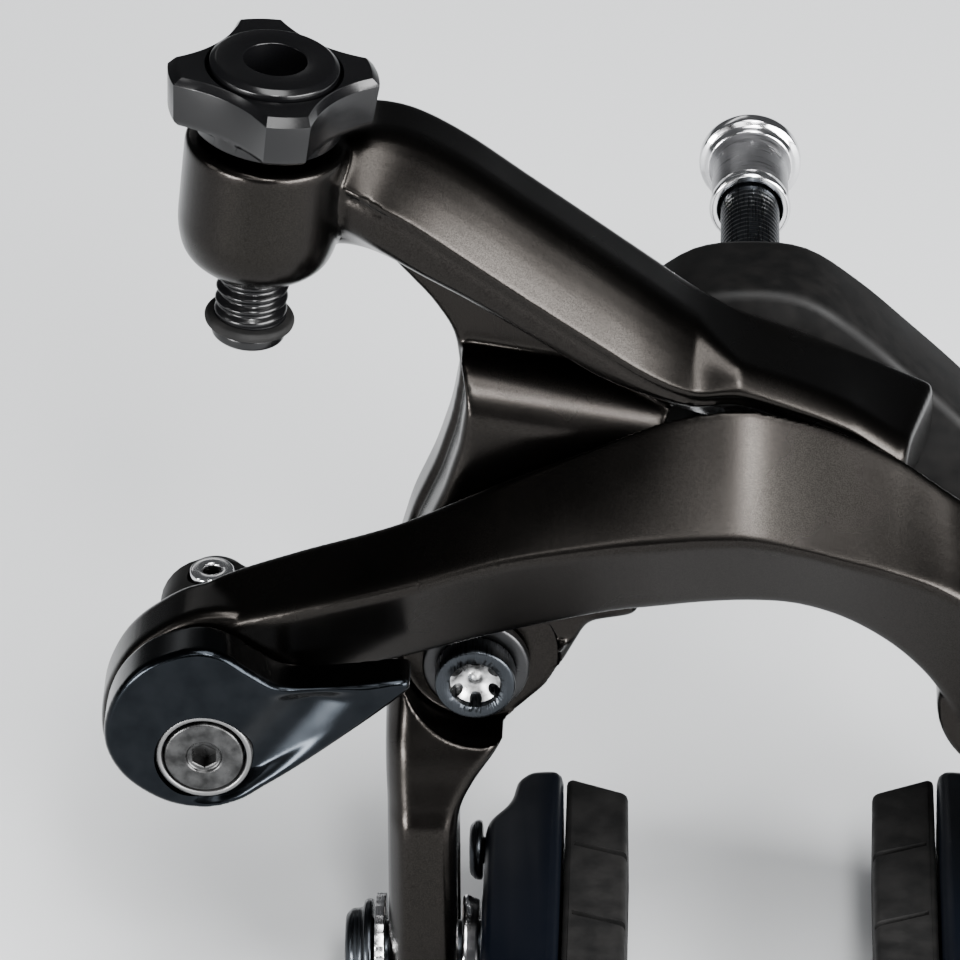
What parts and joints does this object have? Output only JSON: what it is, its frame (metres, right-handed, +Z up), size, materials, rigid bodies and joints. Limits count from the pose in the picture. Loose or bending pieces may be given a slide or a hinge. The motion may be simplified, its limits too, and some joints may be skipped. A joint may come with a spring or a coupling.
{
  "type": "rim brake caliper",
  "caption": "Dual-pivot rim brake caliper for a road bicycle, with a barrel adjuster, a quick-release lever, a centre bolt and cartridge pads.",
  "frame": {"origin": "where the centre bolt's axis meets the mounting washer's rear face, which rests on the fork", "axes": "+Y to the rear along the centre bolt, +Z up, +X to the right as seen from the front"},
  "size_m": [0.1022, 0.0958, 0.107],
  "materials": {
    "arm_paint": "dark grey-brown metallic paint, satin to gloss",
    "lever_paint": "gloss blue-black paint",
    "black_metal": "matt black",
    "steel": "polished",
    "dark_steel": "dark plated",
    "black_plastic": "satin black",
    "shoe_metal": "satin blue-black",
    "rubber": "matt"
  },
  "bodies": {
    "fork_fixing": {"centre_bolt": "steel", "mounting_washer": "steel", "bolt_washer": "steel"},
    "fork_nut": {"recessed_nut": "steel"},
    "bridge": {"pivot_bridge": "black_metal", "left_pivot_axle": "dark_steel", "right_pivot_axle": "dark_steel", "left_return_spring": "steel", "right_return_spring": "steel"},
    "rear_arm": {"rear_arm": "arm_paint", "cam_plate": "steel", "left_bushing": "steel"},
    "centring_screw": {"centring_screw": "steel"},
    "adjuster_knob": {"adjuster_knob": "black_plastic"},
    "adjuster_bolt": {"adjuster_bolt": "black_plastic", "adjuster_stop_ring": "rubber"},
    "front_arm": {"front_arm": "arm_paint", "right_bushing": "steel", "link_pin": "steel", "roller_pin": "dark_steel"},
    "link_roller": {"link_roller": "steel"},
    "spring_tension_screw": {"spring_tension_screw": "steel"},
    "quick_release": {"quick_release_lever": "lever_paint", "lever_shaft": "dark_steel", "lever_screw": "dark_steel"},
    "anchor_link": {"anchor_link": "black_metal", "wire_guide": "steel"},
    "anchor_bolt": {"anchor_bolt": "dark_steel", "cable_clamp_washer": "steel"},
    "left_shoe_mount": {"left_shoe_bolt": "black_metal", "left_inner_washer": "steel", "left_outer_washer": "steel"},
    "left_shoe": {"left_shoe_holder": "shoe_metal", "left_pad_rubber": "rubber", "left_pad_screw": "black_metal"},
    "right_shoe_mount": {"right_shoe_bolt": "black_metal", "right_inner_washer": "steel", "right_outer_washer": "steel"},
    "right_shoe": {"right_shoe_holder": "shoe_metal", "right_pad_rubber": "rubber", "right_pad_screw": "black_metal"}
  },
  "joints": [
    {"name": "caliper_centring", "type": "hinge", "parent": "fork_fixing", "child": "bridge", "pos_m": [0, -0.007, 0], "axis": [0, 1, 0], "range_deg": [-3, 3]},
    {"name": "fork_nut_turn", "type": "hinge", "parent": "fork_fixing", "child": "fork_nut", "pos_m": [0, 0.04, 0], "axis": [0, 1, 0], "continuous": true},
    {"name": "front_arm_pivot", "type": "hinge", "parent": "bridge", "child": "front_arm", "pos_m": [0.0265, -0.02, -0.017], "axis": [0, 1, 0], "range_deg": [0, 10], "stiffness_Nm_per_rad": 0.6, "springref_deg": -11.46, "deforming": ["left_return_spring", "right_return_spring"]},
    {"name": "rear_arm_pivot", "type": "hinge", "parent": "bridge", "child": "rear_arm", "pos_m": [-0.0265, -0.02, -0.017], "axis": [0, -1, 0], "range_deg": [0, 10.01]},
    {"name": "link_roller_turn", "type": "hinge", "parent": "front_arm", "child": "link_roller", "pos_m": [0, -0.0232, 0.003], "axis": [0, 1, 0], "continuous": true},
    {"name": "quick_release_turn", "type": "hinge", "parent": "front_arm", "child": "quick_release", "pos_m": [-0.0521, -0.036, -0.0179], "axis": [0, 1, 0], "range_deg": [0, 90]},
    {"name": "anchor_link_swing", "type": "hinge", "parent": "front_arm", "child": "anchor_link", "pos_m": [-0.0438, -0.0216, -0.0125], "axis": [0, 1, 0], "range_deg": [0, 12.7]},
    {"name": "anchor_bolt_turn", "type": "hinge", "parent": "anchor_link", "child": "anchor_bolt", "pos_m": [-0.0519, -0.0206, -0.013], "axis": [0, 1, 0], "range_deg": [0, 360]},
    {"name": "spring_tension_screw_turn", "type": "hinge", "parent": "front_arm", "child": "spring_tension_screw", "pos_m": [0.033, -0.022, -0.0212], "axis": [1, 0, 0], "range_deg": [-720, 720]},
    {"name": "centring_screw_turn", "type": "hinge", "parent": "front_arm", "child": "centring_screw", "pos_m": [0.033, -0.022, -0.0128], "axis": [1, 0, 0], "range_deg": [-720, 720]},
    {"name": "adjuster_knob_turn", "type": "hinge", "parent": "rear_arm", "child": "adjuster_knob", "pos_m": [-0.04447, -0.022, 0.04487], "axis": [-0.1184, 0, -0.993], "range_deg": [0, 1621]},
    {"name": "adjuster_bolt_slide", "type": "slide", "parent": "rear_arm", "child": "adjuster_bolt", "axis": [0.1184, 0, 0.993], "range_m": [0, 0.0045]},
    {"name": "left_shoe_height", "type": "slide", "parent": "rear_arm", "child": "left_shoe_mount", "axis": [0, 0, 1], "range_m": [-0.001, 0.009]},
    {"name": "left_shoe_pitch", "type": "hinge", "parent": "left_shoe_mount", "child": "left_shoe", "pos_m": [-0.026, -0.025, -0.05], "axis": [1, 0, 0], "range_deg": [-6, 6]},
    {"name": "right_shoe_height", "type": "slide", "parent": "front_arm", "child": "right_shoe_mount", "axis": [0, 0, 1], "range_m": [-0.001, 0.009]},
    {"name": "right_shoe_pitch", "type": "hinge", "parent": "right_shoe_mount", "child": "right_shoe", "pos_m": [0.026, -0.025, -0.05], "axis": [1, 0, 0], "range_deg": [-6, 6]}
  ],
  "couplings": [
    {"joint": "rear_arm_pivot", "follows": "front_arm_pivot", "ratio": 1},
    {"joint": "anchor_link_swing", "follows": "quick_release_turn", "ratio": 0.14},
    {"joint": "adjuster_knob_turn", "follows": "adjuster_bolt_slide", "rad_per_m": 6283.2}
  ]
}
